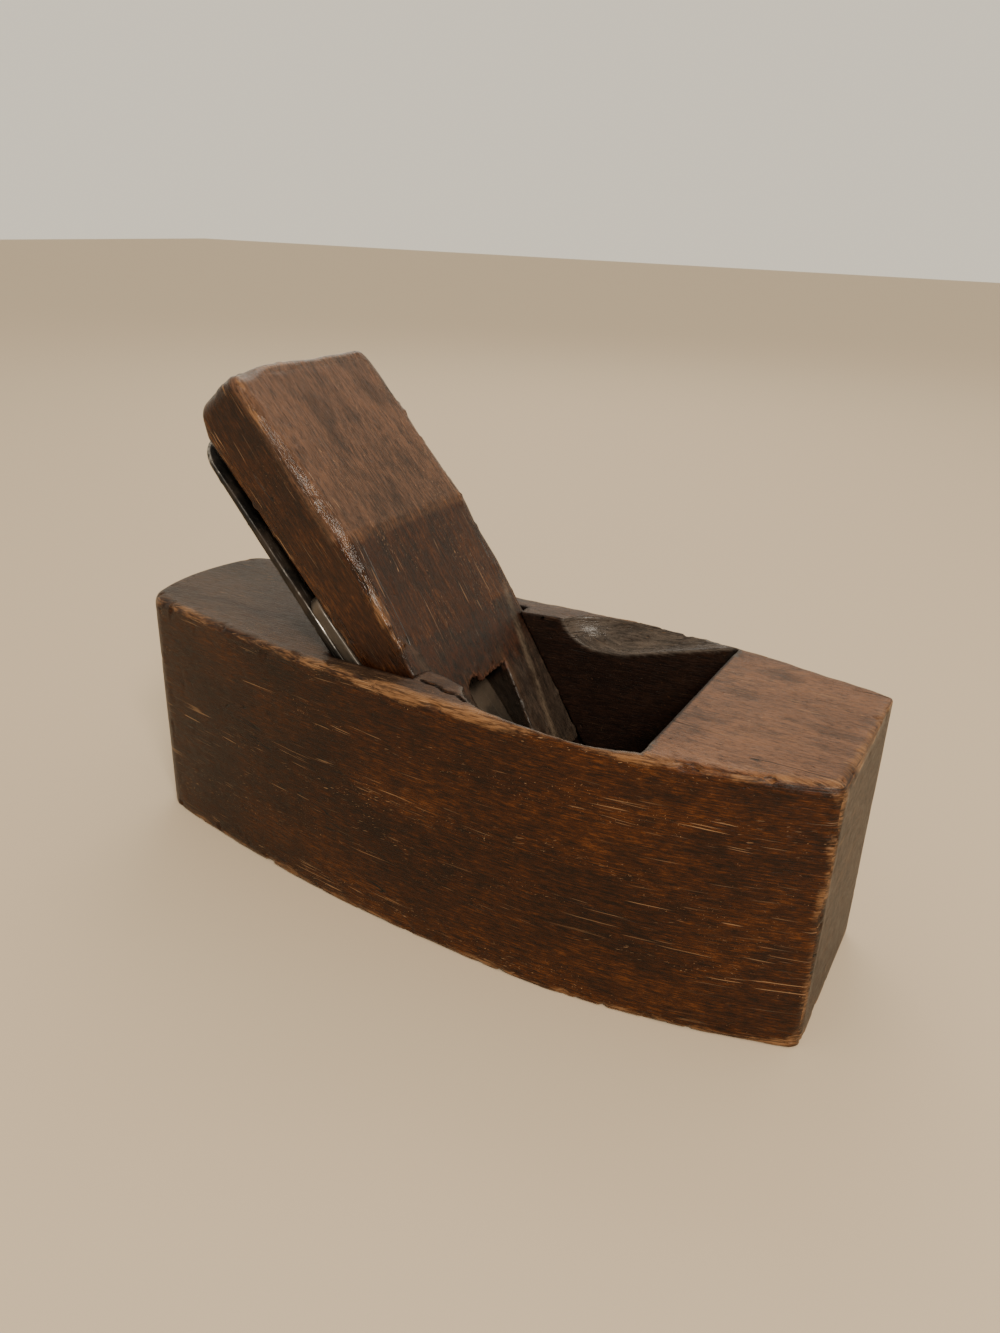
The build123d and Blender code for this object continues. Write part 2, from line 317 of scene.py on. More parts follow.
def makeGroup(name, inputs, outputs, build):
    # inputs are (label, socket kind, value), outputs (label, socket kind); build returns their sockets
    tree = bpy.data.node_groups.new(name, "ShaderNodeTree")
    for label, kind, value in inputs:
        socket = tree.interface.new_socket(label, in_out="INPUT", socket_type=kind)
        if value is not None:
            socket.default_value = value
    for label, kind in outputs:
        tree.interface.new_socket(label, in_out="OUTPUT", socket_type=kind)
    source = tree.nodes.new("NodeGroupInput").outputs
    result = build(tree, source)
    end = tree.nodes.new("NodeGroupOutput")
    for (label, kind), socket in zip(outputs, result):
        tree.links.new(socket, end.inputs[label])
    return tree


def placeGroup(tree, group, **inputs):
    one = tree.nodes.new("ShaderNodeGroup")
    one.node_tree = group
    for label, value in inputs.items():
        link(tree, one.inputs[label], value)
    return one.outputs


# stock: coffin outline, bed, abutments, flared cheeks, breast, mouth and gouged eyes
stockSize = {
    "cell": 0.6,
    "triangles": 190000,
    "widestFromToe": 74.2,
    "toeHalfWidth": 25.3,
    "heelHalfWidth": 22.5,
    "heelBow": 4.5,
    "heelCorner": 4.5,
    "toeCorner": 2.0,
    "topArris": 2.2,
    "soleArris": 1.0,
    "soleLift": 0.03,
    "cutArris": 0.4,
    "eyeArris": 0.3,
    "slotHalfWidth": 29.6,
    "abutmentHeight": 5.48,
    "abutmentAngle": 10.9,
    "abutmentWidth": 4.65,
    "breastFromToe": 41.7,
    "cheekRim": 1.6,
    "mouthFromToe": 63.0,
    "wearLean": 3.0,
    "wearHeight": 18.0,
    "grooveHalfWidth": 11.5,
    "grooveDepth": 5.0,
    "grooveLid": 6.0,
    "reliefHeight": 12.0,
    "reliefLength": 31.2,
    "eyeEndFromToe": 78.0,
    "eyeRadius": 9.2,
    "eyeLift": 0.95,
    "eyeInset": 2.4,
    "eyeRise": 14.0,
    "eyeFlat": 5.0,
    "eyeEndLength": 1.4,
    "sliver": {"start": -2.5, "end": 14.5, "lean": 1.9, "height": 9.0},
    "split": {"from": (1.0, -28.9), "to": (16.5, -33.2), "width": 0.6, "depth": 6.5},
    "skinDepth": 0.12,
}


def arcRadius(run, fall):
    return (run**2 + fall**2) / (2 * fall)


def makeStockFields(size):
    half = stockHigh.y - size["skinDepth"]
    low, high, top = heelX + size["skinDepth"], toeX - size["skinDepth"], topZ - size["skinDepth"]
    widestX = toeX - size["widestFromToe"]
    frontR = arcRadius(high - widestX, half - size["toeHalfWidth"])
    rearR = arcRadius(widestX - low - size["heelBow"], half - size["heelHalfWidth"])
    heelR = arcRadius(size["heelHalfWidth"], size["heelBow"])
    breastX = toeX - size["breastFromToe"]
    taper = math.tan(math.radians(size["abutmentAngle"]))
    abutmentS = (topZ - size["abutmentHeight"] * bedCos) / (bedSin + taper * bedCos)
    abutmentX = bedFoot.x - abutmentS * bedCos + (size["abutmentHeight"] + taper * abutmentS) * bedSin
    wallStart = size["slotHalfWidth"] - size["abutmentWidth"]
    breastHalf = half - frontR + math.sqrt(frontR**2 - (breastX - widestX) ** 2)
    flare = (breastHalf - size["cheekRim"] - wallStart) / (breastX - abutmentX)
    mouthX = toeX - size["mouthFromToe"]
    breastLean = (breastX - mouthX - size["wearLean"]) / (topZ - size["wearHeight"])
    eyeX = toeX - size["eyeEndFromToe"]

    def wallY(x):
        return wallStart + (x - abutmentX) * flare

    def outside(x, y, z):
        side = np.abs(y)
        arcR = np.where(x > widestX, frontR, rearR)
        flank = np.hypot(x - widestX, side - half + arcR) - arcR
        bowY = np.minimum(side, heelR * 0.9)
        bow = heelR - np.sqrt(heelR**2 - bowY**2)
        steep = bowY / np.sqrt(heelR**2 - bowY**2)
        heel = (low + bow + (side - bowY) * steep - x) / np.sqrt(1 + steep**2)
        plan = roundAnd(flank, heel, size["heelCorner"])
        crisp = 1 - 0.45 * (y > 0)
        toeCorner = size["toeCorner"] + 0.5 * np.sin(z * 0.21 + 1)
        plan = roundAnd(plan, x - high, toeCorner * crisp)
        wander = 0.4 * np.sin(x * 0.093 + 0.7) + 0.25 * np.sin(x * 0.31 + y * 0.05)
        wander = wander + 0.15 * np.sin(x * 0.83)
        batter = 1.6 * ramp(x, high - 16, high) * (ramp(-y, 5, 22) - 0.7 * ramp(y, 0, 12))
        heelWear = 1.8 * ramp(-x, -low - 30, -low)
        block = roundAnd(plan, z - top, size["topArris"] + wander + batter + heelWear)
        return roundAnd(block, size["soleLift"] - z, size["soleArris"] + wander * 0.6)

    def slotSpace(x, y, z):
        s, n = bedS(x, z), bedN(x, z)
        under = (n - size["abutmentHeight"] - taper * s) / math.hypot(1, taper)
        slot = np.maximum(-n, np.abs(y) - size["slotHalfWidth"])
        relief = np.maximum(n - size["reliefHeight"], s - size["reliefLength"])
        return np.maximum(slot, np.minimum(under, relief))

    def throatSpace(x, y, z):
        wear = x - mouthX - size["wearLean"] * z / size["wearHeight"]
        breast = (x - breastX + (topZ - z) * breastLean) / math.hypot(1, breastLean)
        sliver = size["sliver"]
        lean = sliver["lean"] * ramp(x, sliver["start"], sliver["start"] + 3)
        lean = lean * ramp(-x, -sliver["end"], -3)
        lean = lean * ramp(z, topZ - sliver["height"], topZ) * (y < 0)
        wall = (np.abs(y) - wallY(x) + lean) / math.hypot(1, flare)
        mouth = np.maximum(np.abs(y) - size["slotHalfWidth"], z - size["wearHeight"])
        return allOf(-bedN(x, z), np.minimum(wear, breast), np.minimum(wall, mouth))

    def grooveSpace(x, y, z):
        s, n = bedS(x, z), bedN(x, z)
        end = np.hypot(np.minimum(s - screwS, 0), y) - size["grooveHalfWidth"]
        return allOf(-n - size["grooveDepth"], n - size["grooveLid"], end)

    def eyeSpace(x, y, z):
        side = np.abs(y)
        along = np.maximum(x - eyeX - size["eyeFlat"], 0)
        fromAxis = side - wallY(x) + size["eyeInset"]
        rise = topZ + size["eyeLift"] + along * math.tan(math.radians(size["eyeRise"]))
        end = np.minimum(x - eyeX, 0) / size["eyeEndLength"]
        gouge = np.sqrt(end**2 + fromAxis**2 + (z - rise) ** 2) - size["eyeRadius"]
        return allOf(gouge, x - breastX, wallStart - side)

    def splitSpace(x, y, z):
        split = size["split"]
        (ax, ay), (bx, by) = split["from"], split["to"]
        length = math.hypot(bx - ax, by - ay)
        ux, uy = (bx - ax) / length, (by - ay) / length
        along = (x - ax) * ux + (y - ay) * uy
        across = np.abs((y - ay) * ux - (x - ax) * uy + 0.3 * np.sin(along * 0.9))
        depth = topZ - z
        width = split["width"] / 2 * (1 - depth / split["depth"])
        return allOf(across - width, -along, along - length)

    def cutSpace(x, y, z):
        return anyOf(slotSpace(x, y, z), throatSpace(x, y, z), grooveSpace(x, y, z))

    def field(x, y, z):
        body = roundCut(outside(x, y, z), cutSpace(x, y, z), size["cutArris"])
        body = roundCut(body, eyeSpace(x, y, z), size["eyeArris"])
        return np.maximum(body, -splitSpace(x, y, z))

    def onCut(x, y, z):
        return 1 - ramp(np.abs(cutSpace(x, y, z)), 0.3, 0.9)

    def onEye(x, y, z):
        return 1 - ramp(np.abs(eyeSpace(x, y, z)), 0.3, 0.9)

    def onFray(x, y, z):
        nearSplit = ramp(x, -16, -2) * ramp(-x, -34, -22)
        return nearSplit * ramp(-y, 30, 33) * ramp(z, topZ - 5, topZ - 2)

    return field, {"cutWall": onCut, "eye": onEye, "frayed": onFray}, outside


stockField, stockMarks, stockOuter = makeStockFields(stockSize)
carve("beechStock", stockField, stockLow, stockHigh, stockSize, stockMarks, outer=stockOuter)


# irons: a tapered cutting iron with a keyhole slot, and a humped cap iron
ironSize = {
    "cell": 0.5,
    "triangles": 90000,
    "edgeS": -4.0,
    "topS": 154.0,
    "edgeN": 5.0,
    "taper": 0.02405,
    "backN": 0.1,
    "cornerRadius": 8.0,
    "bevelAngle": 25.0,
    "slotHalfWidth": 5.25,
    "slotEndS": 48.0,
    "keyholeS": 124.0,
    "keyholeRadius": 10.5,
    "arris": 0.35,
}
capSize = {
    "cell": 0.5,
    "triangles": 70000,
    "topS": 105.0,
    "topThickness": 3.2,
    "rootThickness": 4.1,
    "lipThickness": 0.4,
    "lipS": -2.8,
    "rootS": 31.2,
    "humpRise": 2.6,
    "cornerRadius": 4.0,
    "arris": 0.4,
    "lap": 0.05,
}


def ironFront(s):
    return ironSize["edgeN"] - (s - ironSize["edgeS"]) * ironSize["taper"]


def capBack(s):
    middle = (capSize["lipS"] + capSize["rootS"]) / 2
    across = (s - middle) / ((capSize["rootS"] - capSize["lipS"]) / 2)
    hump = capSize["humpRise"] * np.maximum(1 - across**2, 0)
    return ironFront(s) + capSize["lap"] + np.where(s < capSize["rootS"], hump, 0)


def capFront(s):
    high = ironFront(capSize["topS"]) + capSize["topThickness"]
    low = ironFront(capSize["rootS"]) + capSize["rootThickness"]
    plain = high + (low - high) * (capSize["topS"] - s) / (capSize["topS"] - capSize["rootS"])
    plain = plain + capSize["lap"]
    share = np.clip((s - capSize["lipS"]) / (capSize["rootS"] - capSize["lipS"]), 0, 1)
    thin = capSize["lipThickness"] + (capSize["rootThickness"] - capSize["lipThickness"]) * share
    return np.where(s < capSize["rootS"], capBack(s) + thin, plain)


def ironField(s, y, n):
    size = ironSize
    plan = roundAnd(np.abs(y) - ironHalf, s - size["topS"], size["cornerRadius"])
    slot = np.hypot(s - np.clip(s, size["slotEndS"], size["keyholeS"]), y) - size["slotHalfWidth"]
    hole = np.hypot(s - size["keyholeS"], y) - size["keyholeRadius"]
    plan = roundCut(plan, np.minimum(slot, hole), 0.2)
    bevel = math.radians(size["bevelAngle"])
    ground = -(s - size["edgeS"]) * math.sin(bevel) - (n - size["edgeN"]) * math.cos(bevel)
    plate = allOf(size["backN"] - n, n - ironFront(s), ground)
    return roundAnd(plan, plate, size["arris"])


def capField(s, y, n):
    size = capSize
    plan = roundAnd(np.abs(y) - ironHalf, s - size["topS"], size["cornerRadius"])
    plan = np.maximum(plan, size["lipS"] - s)
    plate = np.maximum(capBack(s) - n, n - capFront(s))
    hole = nutSize["spigot"] - np.hypot(s - screwS, y)
    return allOf(roundAnd(plan, plate, size["arris"]), hole)


# screw: a domed slotted head behind the iron and a threaded shank
screwSize = {
    "cell": 0.28,
    "triangles": 40000,
    "headRadius": 9.5,
    "headBack": -2.95,
    "headSeat": 0.05,
    "domeRadius": 34.0,
    "slotHalfWidth": 0.8,
    "slotFloor": -1.65,
    "coreRadius": 3.4,
    "end": 11.13,
    "threadStart": 3.0,
    "threadRunout": 0.7,
    "threadPitch": 1.25,
    "threadDepth": 0.5,
}


def screwField(s, y, n):
    size = screwSize
    out = np.hypot(s - screwS, y)
    dome = np.hypot(out, n - size["headBack"] - size["domeRadius"]) - size["domeRadius"]
    head = roundAnd(roundAnd(out - size["headRadius"], dome, 0.6), n - size["headSeat"], 0.2)
    shank = roundAnd(out - size["coreRadius"], n - size["end"], 0.5)
    shank = np.maximum(shank, size["headBack"] + 1 - n)
    slot = np.maximum(np.abs(y) - size["slotHalfWidth"], n - size["slotFloor"])
    return roundCut(np.minimum(head, shank), slot, 0.25)


# nut: a round boss on the cap iron, riveted through it by its spigot
nutSize = {
    "cell": 0.28,
    "triangles": 40000,
    "radius": 7.5,
    "spigot": 6.0,
    "spigotGap": 0.02,
    "height": 4.0,
    "chamfer": 0.8,
    "bore": 4.05,
    "arris": 0.3,
    "seatDepth": 0.2,
}


def nutField(s, y, n):
    size = nutSize
    seat = capFront(screwS)
    out = np.hypot(s - screwS, y)
    rim = out + n - size["radius"] - seat - size["height"] + size["chamfer"]
    boss = roundAnd(out - size["radius"], n - seat - size["height"], size["arris"])
    boss = allOf(boss, rim / math.sqrt(2), seat - size["seatDepth"] - n)
    back = capBack(screwS - size["spigot"])
    spigot = allOf(out - size["spigot"] + size["spigotGap"], back - n, n - seat - 1)
    return np.maximum(np.minimum(boss, spigot), size["bore"] - out)


# wedge: pronged below, bevelled onto the abutments, broken slope above
wedgeSize = {
    "cell": 0.5,
    "triangles": 180000,
    "topS": 161.0,
    "topDepth": 21.6,
    "breakS": 111.0,
    "breakDepth": 23.8,
    "tipS": 34.0,
    "tipGap": 0.2,
    "centreAngle": 7.0,
    "bevelDepth": 10.95,
    "bevelClimb": 0.1651,
    "bevelFall": 0.173,
    "backGap": 0.1,
    "bearingGap": 0.15,
    "topBevelRun": 8.0,
    "topBevelRise": 3.8,
    "arris": 2.5,
    "topRound": 1.2,
    "cornerRound": 4.5,
    "notchEdge": [
        # across, up the bed
        (-11.1, 63.4),
        (-9.2, 65.5),
        (-7.3, 66.5),
        (-4.1, 65.6),
        (-3.1, 64.3),
        (1.6, 64.9),
        (5.3, 64.7),
        (9, 65),
    ],
    "notchTopS": 65,
    "notchDepth": 12,
    "farFront": (8.8, 0.16),
    "farBack": (12.3, 0.05),
    "nearWall": 11,
    "splinter": 1.5,
    "undercut": 5.0,
    "grooveHalfWidth": 8.5,
    "grooveDepth": 12.1,
    "skinDepth": 0.1,
}


def makeWedgeFields(size):
    half = wedgeHalf - size["skinDepth"]

    def frontN(s, y):
        fall = size["breakDepth"] - size["topDepth"]
        upper = size["breakDepth"] - (s - size["breakS"]) * fall / (size["topS"] - size["breakS"])
        lower = size["breakDepth"] - (size["breakS"] - s) * math.tan(math.radians(size["centreAngle"]))
        return np.minimum(upper, lower)

    def notchSpace(s, y, n):
        below = frontN(s, y) - n
        edgeY, edgeS = zip(*size["notchEdge"])
        jag = np.interp(y, edgeY, edgeS) + 0.35 * np.sin(y * 2.9) + 0.2 * np.sin(y * 7.1)
        end = s - jag - size["undercut"] * ramp(below, size["splinter"], size["splinter"] + 3)
        share = np.clip(below / size["notchDepth"], 0, 1)
        (front, inward), (back, outward) = size["farFront"], size["farBack"]
        down = size["notchTopS"] - s
        farWall = y - (front - down * inward) * (1 - share) - (back + down * outward) * share
        nearWall = -y - size["nearWall"] - 0.6 * share
        return allOf(end, farWall, nearWall)

    def field(s, y, n):
        side = np.abs(y)
        taper = math.tan(math.radians(stockSize["abutmentAngle"]))
        bearing = n - stockSize["abutmentHeight"] - taper * s + size["bearingGap"]
        bevel = n - size["bevelDepth"] - size["bevelClimb"] * s + size["bevelFall"] * side
        lower = np.minimum(bearing, bevel)
        front = roundAnd(n - frontN(s, y), lower, 0.5)
        back = capFront(s) + size["backGap"] - n
        up = s - size["topS"] + size["topBevelRun"]
        topBevel = (back + up * size["topBevelRise"] / size["topBevelRun"]) / 1.1
        wave = 0.3 * np.sin(y * 0.21 + 0.8) + 0.2 * np.sin(y * 0.47)
        top = s - size["topS"] + 0.25 + wave * 0.6
        arris = size["arris"] + 0.35 * np.sin(s * 0.16) + 0.2 * np.sin(s * 0.43 + y)
        arris = arris * ramp(s, 88, 104) + 0.5
        corner = size["topRound"] + (size["cornerRound"] - size["topRound"]) * ramp(-y, 12, 24)
        body = roundAnd(side - half, front, arris)
        body = roundAnd(body, top, corner)
        clip = (s - size["topS"]) * 0.55 + (y - half) * 0.83 + 1.8
        body = roundAnd(body, clip, 2.0)
        body = roundAnd(roundAnd(body, topBevel, 0.9), back, 0.4)
        body = np.maximum(body, size["tipS"] + size["tipGap"] - s)
        body = roundCut(body, notchSpace(s, y, n), 0.15)
        end = np.hypot(np.maximum(s - screwS, 0), y) - size["grooveHalfWidth"]
        return roundCut(body, np.maximum(n - size["grooveDepth"], end), 0.3)

    def onBreak(s, y, n):
        inNotch = 1 - ramp(np.abs(notchSpace(s, y, n)), 0.2, 0.5)
        return inNotch * ramp(s, 62.3, 63.3)

    # the line where the bevel meets the front, later coloured pale grey: worn wood with a painted
    # highlight along it
    def onRidge(s, y, n):
        bevel = size["bevelDepth"] + size["bevelClimb"] * s - size["bevelFall"] * np.abs(y)
        line = (1 - ramp(np.abs(bevel - frontN(s, y)), 0.03, 0.4)) * ramp(-s, -86, -78)
        return line * np.where(y > 0, 1, 0.3)

    def onProng(s, y, n):
        return ramp(np.abs(y), 17, 21)

    return field, {"broken": onBreak, "ridge": onRidge, "prong": onProng}


def bedBox(lowS, highS, half, lowN, highN):
    return (lowS, -half, lowN), (highS, half, highN)


wedgeField, wedgeMarks = makeWedgeFields(wedgeSize)
carve("beechWedge", wedgeField, *bedBox(33, 162, wedgeHalf, 2, 24.5), wedgeSize, wedgeMarks, onBed=True)
carve("taperedIron", ironField, *bedBox(-5, 155, ironHalf, 0, 5.5), ironSize, onBed=True, reach=0.9)
carve("capIron", capField, *bedBox(-4, 106, ironHalf, 3, 13), capSize, onBed=True, reach=0.9)
screwBox = ((screwS - 10, -10, -3.2), (screwS + 10, 10, 12))
carve("capScrew", screwField, *screwBox, screwSize, onBed=True, reach=0.9)
carve("capNut", nutField, *screwBox, nutSize, onBed=True, reach=0.9)


# geometry nodes: hand wear over a surface, and a thread wound round a shank
def nodeTree(name, inputs):
    tree = bpy.data.node_groups.new(name, "GeometryNodeTree")
    tree.interface.new_socket("Geometry", in_out="INPUT", socket_type="NodeSocketGeometry")
    for label, kind in inputs:
        tree.interface.new_socket(label, in_out="INPUT", socket_type=kind)
    tree.interface.new_socket("Geometry", in_out="OUTPUT", socket_type="NodeSocketGeometry")
    return tree, tree.nodes.new("NodeGroupInput").outputs, tree.nodes.new("NodeGroupOutput").inputs


def finishTree(tree, geometry, source, end):
    real = add(tree, "GeometryNodeRealizeInstances", {"Geometry": geometry}).outputs["Geometry"]
    painted = add(tree, "GeometryNodeSetMaterial", {"Geometry": real, "Material": source["Material"]})
    tree.links.new(painted.outputs["Geometry"], end["Geometry"])


def makeWearTree():
    lengths = ("Swell", "Swell Size", "Knock", "Knock Size", "Ripple", "Ripple Size")
    inputs = [(label, "NodeSocketFloat") for label in lengths]
    inputs += [("Seed", "NodeSocketFloat"), ("Material", "NodeSocketMaterial")]
    tree, source, end = nodeTree("handWear", inputs)
    place = add(tree, "GeometryNodeInputPosition").outputs[0]
    moved = add(tree, "ShaderNodeVectorMath", {0: place, 1: source["Seed"]}, operation="ADD").outputs[0]

    def pattern(size, detail):
        scale = math1(tree, "DIVIDE", 1.0, size)
        inputs = {"Vector": moved, "Scale": scale, "Detail": detail, "Roughness": 0.5}
        return add(tree, "ShaderNodeTexNoise", inputs).outputs[0]

    arris = add(tree, "GeometryNodeInputNamedAttribute", {"Name": "arris"}, data_type="FLOAT").outputs[0]
    swell = times(tree, pattern(source["Swell Size"], 1.0), source["Swell"])
    pits = minus(tree, pattern(source["Knock Size"], 1.5), 0.6, clamp=True)
    pits = times(tree, pits, 5.0)
    exposed = math1(tree, "MULTIPLY_ADD", arris, 1.6, 0.25)
    pits = times(tree, times(tree, pits, exposed), source["Knock"])
    ripple = times(tree, pattern(source["Ripple Size"], 3.0), source["Ripple"])
    depth = plus(tree, plus(tree, swell, pits), ripple)
    normal = add(tree, "GeometryNodeInputNormal").outputs[0]
    push = {0: normal, "Scale": times(tree, depth, -1.0)}
    inward = add(tree, "ShaderNodeVectorMath", push, operation="SCALE")
    moves = {"Geometry": source["Geometry"], "Offset": inward.outputs[0]}
    worn = add(tree, "GeometryNodeSetPosition", moves)
    finishTree(tree, worn.outputs[0], source, end)
    return tree


def makeThreadTree():
    labels = ("Radius", "Pitch", "Length", "Depth")
    inputs = [(label, "NodeSocketFloat") for label in labels]
    inputs += [(label, "NodeSocketVector") for label in ("Start", "Turn")]
    inputs += [("Material", "NodeSocketMaterial")]
    tree, source, end = nodeTree("woundThread", inputs)
    spiral = {
        "Resolution": 32,
        "Rotations": math1(tree, "DIVIDE", source["Length"], source["Pitch"]),
        "Start Radius": source["Radius"],
        "End Radius": source["Radius"],
        "Height": source["Length"],
    }
    path = add(tree, "GeometryNodeCurveSpiral", spiral).outputs[0]
    triangle = {"Resolution": 3, "Radius": source["Depth"]}
    ridge = add(tree, "GeometryNodeCurvePrimitiveCircle", triangle).outputs[0]
    sweep = {"Curve": path, "Profile Curve": ridge, "Fill Caps": True}
    wound = add(tree, "GeometryNodeCurveToMesh", sweep).outputs[0]
    inputs = {"Geometry": wound, "Translation": source["Start"], "Rotation": source["Turn"]}
    placed = add(tree, "GeometryNodeTransform", inputs).outputs[0]
    both = add(tree, "GeometryNodeJoinGeometry")
    tree.links.new(source["Geometry"], both.inputs[0])
    tree.links.new(placed, both.inputs[0])
    finishTree(tree, both.outputs[0], source, end)
    return tree


def grow(piece, tree, values):
    # runs a tree over a piece with these inputs, then keeps the result as its plain mesh
    rule = piece.modifiers.new(tree.name, "NODES")
    rule.node_group = tree
    items = tree.interface.items_tree
    sockets = {item.name: item.identifier for item in items if item.in_out == "INPUT"}
    for label, value in values.items():
        rule[sockets[label]] = value
    bakeModifiers(piece)


# shared shader groups: grain, scratches, edge wear, grime with painted shade in inner corners, hair
# cracks
def buildGrain(tree, source):
    vector = source["Vector"]
    fibre = speckle(tree, stretched(tree, vector, 5.5, 0.38), 1, 4, 0.65, 0.4)
    mottle = speckle(tree, stretched(tree, vector, 3.6, 1.5, shift=(3, 9, 1)), 1, 6, 0.8)
    fleck = speckle(tree, stretched(tree, vector, 2.2, 0.36, shift=(7, 3, 5)), 1, 1.5, 0.5)
    cloud = speckle(tree, stretched(tree, vector, 42, 20, shift=(5, 5, 8)), 1, 2, 0.5)
    return fibre, mottle, band(tree, fleck, 0.56, 0.68), cloud


scratchRuns = [
    # length, width, angle across the grain, how high the noise must stand, place
    (130, 0.42, 0.030, 0.735, 2),
    (90, 0.34, -0.035, 0.740, 31),
    (40, 0.32, 0.13, 0.765, 57),
    (26, 0.30, -0.50, 0.785, 83),
    (19, 0.30, 0.85, 0.775, 19),
    (24, 0.28, 0.35, 0.775, 71),
]


def buildScratches(tree, source):
    total = None
    vector = source["Vector"]
    for along, across, turn, low, place in scratchRuns:
        line = speckle(tree, stretched(tree, vector, along, across, turn, (place, place, place)), 1, 0)
        patch = speckle(tree, stretched(tree, vector, 45, 10, shift=(place, 1, 2)), 1, 2)
        line = times(tree, band(tree, line, low, low + 0.06), band(tree, patch, 0.48, 0.66))
        total = line if total is None else math1(tree, "MAXIMUM", total, line)
    return [times(tree, total, source["Amount"], clamp=True)]


def buildEdgeWear(tree, source):
    arris = add(tree, "ShaderNodeAttribute", attribute_name="arris").outputs["Fac"]
    broken = speckle(tree, stretched(tree, source["Vector"], 3.2, 0.7), 1, 5, 0.72)
    long = speckle(tree, source["Vector"], 17, 2)
    edge = plus(tree, arris, times(tree, minus(tree, broken, 0.5), 1.3))
    edge = plus(tree, edge, times(tree, minus(tree, long, 0.5), 1.9))
    low = minus(tree, 1.0, source["Amount"])
    worn = band(tree, edge, low, plus(tree, low, 0.5))
    return [times(tree, worn, band(tree, arris, 0.08, 0.4))]


def buildGrimeAndShade(tree, source):
    # near black in inner corners from the hollow mark: dirt together with painted shade
    hollow = add(tree, "ShaderNodeAttribute", attribute_name="hollow").outputs["Fac"]
    dust = speckle(tree, source["Vector"], 7, 4, 0.6)
    depth = plus(tree, hollow, times(tree, minus(tree, dust, 0.5), 0.6))
    return [times(tree, band(tree, depth, 0.25, 0.85), source["Amount"], clamp=True)]


def buildCracks(tree, source):
    line = speckle(tree, stretched(tree, source["Vector"], 120, 9), 1, 3, 0.5, 0.3)
    line = math1(tree, "ABSOLUTE", minus(tree, line, 0.5))
    patch = speckle(tree, stretched(tree, source["Vector"], 26, 9, shift=(5, 8, 13)), 1, 1)
    return [times(tree, band(tree, line, 0.001, 0.006, 1, 0), band(tree, patch, 0.63, 0.68))]


vectorIn = ("Vector", "NodeSocketVector", None)
amountIn = ("Amount", "NodeSocketFloat", 0.5)
maskOut = [("Mask", "NodeSocketFloat")]
grainOut = [(label, "NodeSocketFloat") for label in ("Fibre", "Mottle", "Fleck", "Cloud")]
grainGroup = makeGroup("beechGrain", [vectorIn], grainOut, buildGrain)
scratchGroup = makeGroup("scratches", [vectorIn, amountIn], maskOut, buildScratches)
edgeGroup = makeGroup("edgeWear", [vectorIn, amountIn], maskOut, buildEdgeWear)
grimeAndShadeGroup = makeGroup("grime", [vectorIn, amountIn], maskOut, buildGrimeAndShade)
crackGroup = makeGroup("hairCracks", [vectorIn], maskOut, buildCracks)


def newMaterial(name):
    material = bpy.data.materials.new(name)
    material.use_nodes = True
    return material, material.node_tree, material.node_tree.nodes["Principled BSDF"]


def tone(red, green, blue):
    return (red, green, blue, 1)


toMillimetres = (1000, 1000, 1000)


def alongRow(tree):
    # object coordinates in millimetres
    place = add(tree, "ShaderNodeTexCoord").outputs["Object"]
    return add(tree, "ShaderNodeMapping", {"Vector": place, "Scale": toMillimetres}).outputs[0]


def alongBed(tree):
    # millimetres up the bed, across it, and down into it
    place = add(tree, "ShaderNodeTexCoord").outputs["Object"]
    lean = math.atan2(bedSin, -bedCos)
    shift = (bedFoot.x * bedCos, 0, bedFoot.x * bedSin)
    inputs = {"Vector": place, "Scale": toMillimetres, "Rotation": (0, lean, 0), "Location": shift}
    return add(tree, "ShaderNodeMapping", inputs).outputs[0]


def overSurface(tree, vector, along, up):
    # lays the pattern flat on the side, the top or the end that faces out here
    normal = add(tree, "ShaderNodeTexCoord").outputs["Normal"]

    def faces(axis, share):
        turned = add(tree, "ShaderNodeVectorMath", {0: normal, 1: axis}, operation="DOT_PRODUCT")
        return math1(tree, "GREATER_THAN", math1(tree, "ABSOLUTE", turned.outputs["Value"]), share)

    part = add(tree, "ShaderNodeSeparateXYZ", {0: vector}).outputs
    onTop, onEnd = faces(up, 0.7), faces(along, 0.8)
    run = add(tree, "ShaderNodeMix", {0: onEnd, 2: part[0], 3: part[1]}).outputs[0]
    rise = add(tree, "ShaderNodeMix", {0: onTop, 2: part[2], 3: part[1]}).outputs[0]
    flat = {"X": run, "Y": rise, "Z": math1(tree, "MULTIPLY", onTop, 50.0)}
    return add(tree, "ShaderNodeCombineXYZ", flat).outputs[0]


def mark(tree, name):
    return add(tree, "ShaderNodeAttribute", attribute_name=name).outputs["Fac"]


